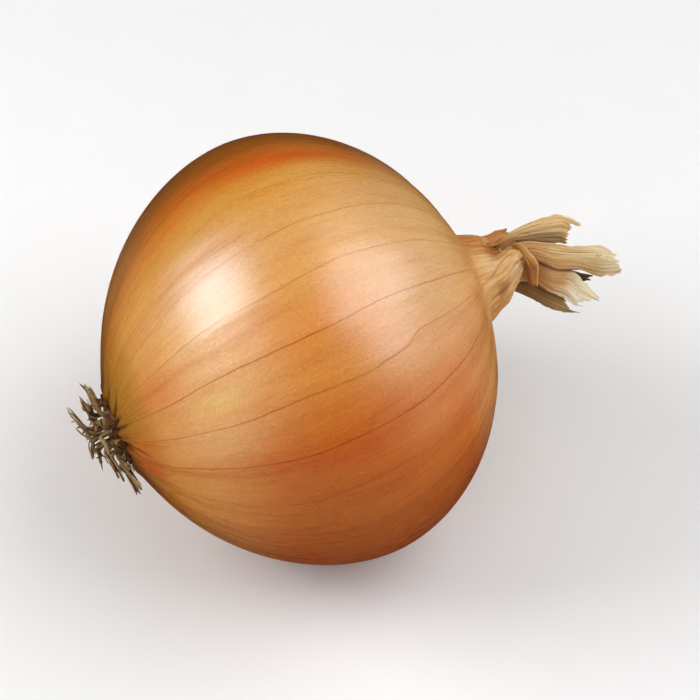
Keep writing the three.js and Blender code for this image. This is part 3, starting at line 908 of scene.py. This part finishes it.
LEAVES = {
    "neck_fold": dict(
        bow=0.35, ends=(1.0, 0.95, 1.0, 0.92), ruffle=0.10, folds=0.16, tones=((224, 168, 104), RUST, UMBER),
        marks=[(0.7, 0.9, 0.5, 0.4, (150, 82, 28), 0.8), (0.5, 0.05, 0.6, 0.12, (232, 186, 124), 0.8)],
        upper=[(42.6, 3.2, 3.6), (43.8, 2.0, 4.5), (44.3, 0.4, 5.0), (44.9, -1.4, 5.1), (44.9, -2.6, 4.7),
               (44.2, -4.2, 4.0), (43.5, -6.0, 3.2)],
        lower=[(42.2, 2.4, 3.4), (42.7, 1.0, 4.0), (42.8, -1.0, 4.1), (42.7, -2.4, 3.8), (42.4, -3.4, 3.3),
               (42.2, -4.4, 2.8), (42.4, -5.6, 2.4)],
    ),
    "neck_crest": dict(
        bow=0.5, ends=(0.9, 1.0, 0.86, 0.97, 0.8), ruffle=0.20, folds=0.30,
        tones=((204, 144, 82), (176, 108, 44), (112, 60, 18)), marks=[],
        upper=[(36.6, 6.7, -0.6), (38.6, 6.6, -0.4), (40.8, 6.3, 0.0), (42.8, 5.9, 0.4)],
        lower=[(37.0, 4.2, 4.4), (39.0, 3.6, 4.4), (41.0, 3.9, 3.6), (42.6, 4.4, 2.8)],
    ),
    "leaf_long": dict(
        bow=0.6, ends=(0.93, 0.97, 0.93, 0.99, 0.96, 1.0, 0.98), ruffle=0.20, folds=0.24,
        tones=((224, 198, 150), (198, 160, 106), BROWN),
        marks=[(0.2, 0.4, 0.2, 0.7, (180, 118, 50), 0.8), (0.55, 0.97, 0.45, 0.10, (196, 128, 84), 0.8),
               (0.98, 0.5, 0.26, 0.7, (230, 214, 180), 0.8), (0.72, 0.85, 0.14, 0.35, (160, 124, 72), 0.7)],
        upper=[(39.0, 3.4, 2.4), (44, 2.7, 3.4), (48, 1.0, 3.4), (52.3, -1.4, 3.0), (56.9, -3.1, 2.2),
               (59.6, -5.4, 1.4)],
        lower=[(39.0, -0.6, 2.6), (44.6, -1.4, 4.0), (48, -4.6, 3.8), (51.5, -6.2, 3.2), (55.5, -9.1, 2.2),
               (59.9, -10, 1.2)],
    ),
    "leaf_upper": dict(
        bow=1.0, ends=(1.0, 0.995, 0.85, 0.86, 0.83, 0.85, 0.81, 0.85, 0.84, 0.87, 0.86),
        ruffle=0.20, folds=0.26,
        tones=(CREAM, (206, 166, 110), BROWN),
        # The first two marks darken the leaf's lower side, which turns under: painted shade.
        marks=[(0.42, 0.95, 0.28, 0.20, (104, 74, 34), 0.9), (0.62, 0.75, 0.20, 0.22, (160, 136, 98), 0.7),
               (0.1, 0.5, 0.14, 0.8, (178, 116, 54), 0.8)],
        upper=[(38.2, 4.0, 1.4), (40.4, 4.7, 2.8), (43, 5.3, 2.4), (47, 5.7, 2.2), (50.5, 5.35, 1.8),
               (53.3, 4.7, 1.5), (54.8, 3.3, 1.3), (56.2, 1.7, 1.1)],
        lower=[(38.2, 1.6, 1.6), (40.6, 2.8, 3.4), (43.6, 2.9, 1.8), (46.6, 1.8, 0.4), (49.3, 0.6, -0.4),
               (51.2, -0.2, -0.8), (52.4, -1.0, -0.9), (53.4, -2.0, -1.0)],
    ),
    "leaf_pale": dict(
        bow=0.5, ends=(0.97, 1.0, 0.94, 0.98, 0.90, 0.93, 0.86, 0.80, 0.84), ruffle=0.26, folds=0.22,
        tones=(WHITE, (230, 214, 180), GOLD),
        marks=[(0.22, 0.5, 0.31, 1.2, (182, 114, 38), 1.0), (0.50, 0.35, 0.10, 0.35, (198, 138, 58), 0.9)],
        upper=[(39.0, 0.2, 1.7), (44.8, -1.2, 2.6), (48.1, -4.2, 2.6), (50.8, -5.9, 2.2), (52.4, -8.8, 1.9),
               (53.8, -12.2, 1.6)],
        lower=[(39.0, -3.0, 1.5), (43.2, -5.0, 2.2), (45.4, -8.0, 1.9), (47.4, -9.9, 1.6),
               (49.0, -12.0, 1.2), (53.1, -13.8, 0.9)],
    ),
    "leaf_lower": dict(
        bow=0.5, ends=(0.74, 0.78, 0.76, 0.82, 0.80, 0.95, 1.0), ruffle=0.15, folds=0.20,
        tones=((194, 164, 116), (162, 130, 82), (92, 62, 24)),
        # The mark darkens the leaf's base next to the neck: painted shade.
        marks=[(0.15, 0.5, 0.3, 1.0, (104, 66, 24), 0.7)],
        upper=[(39.0, -1.8, 0.9), (43.0, -3.2, 1.4), (45.6, -6.2, 1.0), (48.2, -9.6, 0.6),
               (50.2, -12.4, 0.2)],
        lower=[(39.0, -4.2, -0.6), (42, -7.2, -0.8), (44, -9.8, -0.8), (46.5, -12.1, -0.6),
               (49.6, -13.7, -0.2)],
    ),
    "leaf_back": dict(
        bow=-0.5, ends=(0.97, 1.0, 0.93, 0.98), ruffle=0.20, folds=0.22,
        tones=((126, 104, 62), (98, 76, 38), (60, 42, 14)), marks=[],
        upper=[(39.0, 1.4, -1.6), (45, -1.2, -1.9), (50, -4.4, -1.9), (55.2, -8.2, -1.2)],
        lower=[(39.0, -2.6, -1.8), (44.5, -5.2, -2.3), (49, -8, -2.3), (53.2, -9.9, -1.6)],
    ),
    "leaf_rear": dict(
        bow=-0.9, ends=(0.9, 1.0, 0.92, 1.0, 0.95), ruffle=0.3, folds=0.26,
        tones=(CREAM, TAN, BROWN), marks=[],
        upper=[(38.8, 4.2, -1.6), (44, 4.6, -3.2), (47, 4.2, -4.6), (50, 3.0, -5.6)],
        lower=[(38.8, -0.6, -3.4), (44, -0.8, -5.0), (47, -2.0, -6.2), (50, -2.6, -6.6)],
    ),
}
LEAF_HALF_THICKNESS = 0.06
FLAP_HALF_THICKNESS = 0.08
LEAF_ROWS = 120
LEAF_STRANDS = 130


def edge_points(points, along):
    """Points on a smooth edge at shares of its length, one share per row and strand."""
    dense = smooth_route(np.array(points, float), 400)
    place = np.linspace(0, 1, 400)
    return np.stack([np.interp(along, place, dense[:, k]) for k in range(3)], -1)


def unevenness(along, across, cells, random):
    """Smooth seeded waves between -1 and 1 over a sheet: random heights on a coarse grid of cells, joined
    by eased blends along and across."""
    heights = random.uniform(-1, 1, (cells[0] + 2, cells[1] + 2))
    row, column = np.clip(along, 0, 1) * cells[0], np.clip(across, 0, 1) * cells[1]
    i, j = row.astype(int), column.astype(int)
    down, over = smooth_step(0, 1, row - i), smooth_step(0, 1, column - j)
    near = heights[i, j] + over * (heights[i, j + 1] - heights[i, j])
    far = heights[i + 1, j] + over * (heights[i + 1, j + 1] - heights[i + 1, j])
    return near + down * (far - near)


def leaf_surface(leaf, random):
    """The middle surface of a leaf: straight across between its edges, bowed by a half sine, with sharp
    lengthwise folds and soft crumples of seeded unevenness, and each strand cut to its own length."""
    row, strand = np.meshgrid(np.linspace(0, 1, LEAF_ROWS), np.linspace(0, 1, LEAF_STRANDS), indexing="ij")

    def waves(*cells):
        return unevenness(along, across, cells, random)

    cut = np.interp(strand, np.linspace(0, 1, len(leaf["ends"])), leaf["ends"])
    along, across = np.zeros_like(row), strand
    cut = cut + 0.035 * waves(1, 14) + 0.02 * waves(1, 36)
    along = row * np.minimum(cut, 1.0)
    inset = 0.035 * smooth_step(0.2, 0.6, along)
    first_edge = inset * (1 + waves(17, 1))
    last_edge = 1 - inset * (1 + waves(19, 1))
    across = first_edge + strand * (last_edge - first_edge)
    upper, lower = edge_points(leaf["upper"], along), edge_points(leaf["lower"], along)
    points = upper + across[..., None] * (lower - upper)
    face = np.cross(np.gradient(points, axis=0), upper - lower)
    face /= np.linalg.norm(face, axis=-1, keepdims=True) + 1e-9
    wander = across + 0.03 * waves(4, 3)
    ridge = 0.5 - np.abs(unevenness(along, wander, (2, 9), random))
    ridge = ridge + 0.5 * (0.5 - np.abs(unevenness(along, wander, (3, 19), random)))
    fibres = ridge + 0.25 * unevenness(along, wander, (3, 40), random)
    crumple = waves(3, 2) + 0.6 * waves(5, 3) + 0.35 * (0.5 - np.abs(waves(6, 5)))
    grow = smooth_step(0.05, 0.8, along)
    lift = leaf["bow"] * np.sin(math.pi * across) + 1.6 * leaf["ruffle"] * (0.3 + grow) * crumple
    lift = lift + leaf["folds"] * fibres
    return points + lift[..., None] * face, face, across, along, fibres


def leaf_tones(leaf, across, along, fibres, random):
    """Light, middle and dark tones laid in uneven streaks along the leaf, darker at its sides, with painted
    shade in the valleys of its folds, and the leaf's own local marks on top."""
    light, middle, dark = (linear(*tone) for tone in leaf["tones"])

    def waves(*cells):
        return unevenness(along, across, cells, random)

    mix = np.clip(0.5 + 0.45 * waves(2, 11) + 0.35 * waves(3, 30) + 0.35 * waves(4, 3), 0, 1)[..., None]
    tone = middle + mix * (light - middle)
    for place, side, reach, reach_side, shade, share in leaf["marks"]:
        ragged_along = along + 0.07 * waves(2, 16)
        weight = share * bump(ragged_along, place, reach) * bump(across, side, reach_side)
        tone = tone + weight[..., None] * (linear(*shade) - tone)
    edge = smooth_step(0.46, 0.5, np.abs(across - 0.5)) * smooth_step(0.9, 0.6, along)
    brown_streak = smooth_step(0.35, 0.85, waves(2, 24)) * smooth_step(-0.2, 0.5, waves(5, 4))
    # Browning at the sides and in streaks, plus painted shade where the folds dip (fibres low).
    dull = 0.35 * edge + 0.6 * brown_streak + 0.35 * smooth_step(0.0, -0.7, fibres)
    return tone + np.clip(dull, 0, 0.85)[..., None] * (dark - tone)


def sheet_piece(name, middle, face, half, material, node):
    """A closed thin sheet: the middle surface moved half a thickness to each side, rims joined."""
    front = middle + half * face
    back = (middle - half * face)[:, ::-1]
    loop = np.concatenate([front, back], 1)
    rows, around_count = loop.shape[:2]
    strands = middle.shape[1]
    faces = grid_faces(rows, around_count, wrap=True)
    k = np.arange(strands - 1)
    mirror = 2 * strands - 1 - k
    start = np.stack([k, mirror, mirror - 1, k + 1], -1)
    end = start[:, ::-1] + (rows - 1) * around_count
    every_face = np.concatenate([faces, start, end])
    seen = np.cross(np.gradient(middle, axis=1), np.gradient(middle, axis=0))
    if (seen * face).sum() < 0:
        every_face = every_face[:, ::-1]
    return mesh_piece(name, laid(loop.reshape(-1, 3)), every_face.tolist(), material, [node])


def make_leaf(name, leaf, material, random):
    """One leaf as a closed sheet, a little darker on its back, with its own fibre directions."""
    middle, face, across, along, fibres = leaf_surface(leaf, random)
    tones = leaf_tones(leaf, across, along, fibres, random)
    piece = sheet_piece("dry_" + name, middle, face, LEAF_HALF_THICKNESS, material, name)
    put_colours(piece.data, "tint", np.concatenate([tones, 0.85 * tones[:, ::-1]], 1))
    weave = np.stack([across, along], -1)
    weave = np.concatenate([weave, weave[:, ::-1] + [3.0, 0.0]], 1)
    put_vectors(piece.data, "fibre", np.concatenate([weave, np.zeros((*weave.shape[:2], 1))], -1))


# The lip of the neck skin on the front: angle round the axis in degrees, and how far it reaches along it.
FLAP_LIP = [(-26, 41.0), (-10, 41.2), (0, 41.4), (10, 41.6), (22, 42.0), (33, 42.5), (38, 42.1), (46, 43.0),
            (60, 43.3), (74, 43.1), (88, 43.4), (94, 42.7), (104, 41.3), (112, 40.4)]
FLAP_START = 34.6
FLAP_ROWS, FLAP_COLUMNS = 130, 190


def flap_surface(random):
    """The neck's outermost skin on the front, out to its free lip: the neck's own outline swept round
    part of a turn with the same pleats, sunk into the skin where it starts and crumpled at the lip."""
    share, turn = np.meshgrid(np.linspace(0, 1, FLAP_ROWS), np.linspace(0, 1, FLAP_COLUMNS), indexing="ij")
    degrees = FLAP_LIP[0][0] + turn * (FLAP_LIP[-1][0] - FLAP_LIP[0][0])
    angle = np.radians(degrees)
    lip = np.interp(degrees, *zip(*FLAP_LIP)) + 0.22 * unevenness(share, turn, (1, 20), random)
    x = FLAP_START + share * (lip - FLAP_START)
    fold, crease = pleats(x, angle)
    body = bulb_radius(np.minimum(x, NECK_END_X)) - 0.40 * np.maximum(x - NECK_END_X, 0)
    free = smooth_step(39.4, 42.6, x)
    sunk = smooth_step(FLAP_START, 37.0, x) * smooth_step(0, 0.06, turn) * smooth_step(1, 0.90, turn)
    lump = unevenness(share, turn, (9, 12), random) + 0.5 * unevenness(share, turn, (16, 26), random)
    lift = -0.55 + 0.75 * sunk + (0.75 - 0.40 * free) * fold + (0.10 + 0.34 * free) * lump
    points = around(x, body + lift - 0.9 * smooth_step(0.95, 1.0, share), angle)
    points[..., 1] += neck_lean(x)
    return points, x, angle, crease


def make_flap(material):
    """A closed thin sheet on the flap's surface, with the neck skin's own attributes."""
    points, x, angle, crease = flap_surface(np.random.default_rng(5))
    face = np.cross(np.gradient(points, axis=1), np.gradient(points, axis=0))
    face /= np.linalg.norm(face, axis=-1, keepdims=True) + 1e-9
    half = FLAP_HALF_THICKNESS
    piece = sheet_piece("dry_neck_flap", points, face, half, material, "neck_flap")
    wound = angle - SPIRAL * x
    fibre = np.stack([np.cos(wound), np.sin(wound), x / GIRTH_RADIUS], -1)

    def both_sides(values):
        return np.concatenate([values, values[:, ::-1]], 1)

    put_vectors(piece.data, "fibre", both_sides(fibre))
    tone = neck_tone(x, angle)
    put_colours(piece.data, "tint", both_sides(tone))
    put_colours(piece.data, "neck_tint", both_sides(tone))
    put_floats(piece.data, "past_rim", np.full(2 * x.size, 5.0))
    put_floats(piece.data, "side_line", np.full(2 * x.size, 9.0))
    put_floats(piece.data, "crease", both_sides(crease))


def leaf_material(name, roughness):
    """Dry leaf: painted tones under fine lengthwise fibres and small brown flecks."""
    shader = Shader(name, roughness=roughness, specular=0.3)
    tint = shader.attribute("tint", "Color")
    fibre = shader.attribute("fibre", "Vector")
    place = shader.object_place()
    lines = shader.noise(shader.stretched(fibre, (42, 2.5, 1)), 1.0, 4, 0.6)
    flecks = shader.noise(place, 900.0, 3, 0.6)
    tone = shader.mix(shader.ramp(lines, 0.52, 0.75, 0, 0.35), tint, (0.62, 0.48, 0.34, 1), "MULTIPLY")
    tone = shader.mix(shader.ramp(lines, 0.46, 0.28, 0, 0.25), tone, colour(244, 226, 196))
    tone = shader.mix(shader.ramp(flecks, 0.6, 0.75, 0, 0.4), tone, colour(128, 84, 44))
    shader.feed(shader.surface.inputs["Base Color"], tone)
    shader.surface.inputs["Subsurface Weight"].default_value = 0.25
    shader.surface.inputs["Subsurface Radius"].default_value = (1.0, 0.7, 0.4)
    shader.surface.inputs["Subsurface Scale"].default_value = 0.0006
    shader.relief(shader.math("ADD", lines, shader.math("MULTIPLY", flecks, 0.4)), 0.00025, 0.8)
    return shader.material


def make_leaves():
    """The neck's flap first, then every other leaf in order, all from one seed."""
    random = np.random.default_rng(21)
    dry = leaf_material("dry_leaf", 0.72)
    neck = leaf_material("neck_folds", 0.65)
    make_flap(skin_material("neck_skin"))
    for name, leaf in LEAVES.items():
        on_neck = name.startswith("neck")
        make_leaf(name, leaf, neck if on_neck else dry, random)


# ---- floor

FLOOR_HALF = 1.5  # metres
WALL_RADIUS, WALL_HEIGHT, WALL_COLUMNS = 0.85, 2.4, 96
WALL_BRIGHTNESS = 0.86


def make_floor():
    """A plain pale floor just under the flat that the onion rests on."""
    shader = Shader("pale_floor", roughness=0.8, specular=0.2)
    grain = shader.noise(shader.object_place(), 60.0, 2)
    tone = shader.mix(grain, (0.83, 0.83, 0.83, 1), (0.85, 0.85, 0.85, 1))
    shader.feed(shader.surface.inputs["Base Color"], tone)
    corners = FLOOR_HALF * np.array([(-1, -1, 0), (1, -1, 0), (1, 1, 0), (-1, 1, 0)])
    floor = new_object("floor", corners, [(0, 1, 2, 3)], shader.material)
    floor.visible_glossy = False


def make_backdrop():
    """A plain pale wall all round, a cylinder standing on the floor; only the eye sees it, so it adds no
    light of its own to the onion."""
    shader = Shader("pale_backdrop", roughness=1.0, specular=0.0)
    shader.surface.inputs["Base Color"].default_value = (0, 0, 0, 1)
    shader.surface.inputs["Emission Color"].default_value = (1, 1, 1, 1)
    shader.surface.inputs["Emission Strength"].default_value = WALL_BRIGHTNESS
    turn = np.arange(WALL_COLUMNS) * 2 * math.pi / WALL_COLUMNS
    ring = np.stack([WALL_RADIUS * np.cos(turn), WALL_RADIUS * np.sin(turn), np.zeros(WALL_COLUMNS)], -1)
    faces = grid_faces(2, WALL_COLUMNS, wrap=True)[:, ::-1].tolist()
    points = np.concatenate([ring, ring + [0, 0, WALL_HEIGHT]])
    backdrop = new_object("backdrop", points, faces, shader.material)
    backdrop.visible_diffuse = False
    backdrop.visible_glossy = False
    backdrop.visible_transmission = False
    backdrop.visible_shadow = False


make_camera()
make_light()
make_floor()
make_backdrop()
make_bulb()
make_plate()
make_roots()
make_leaves()
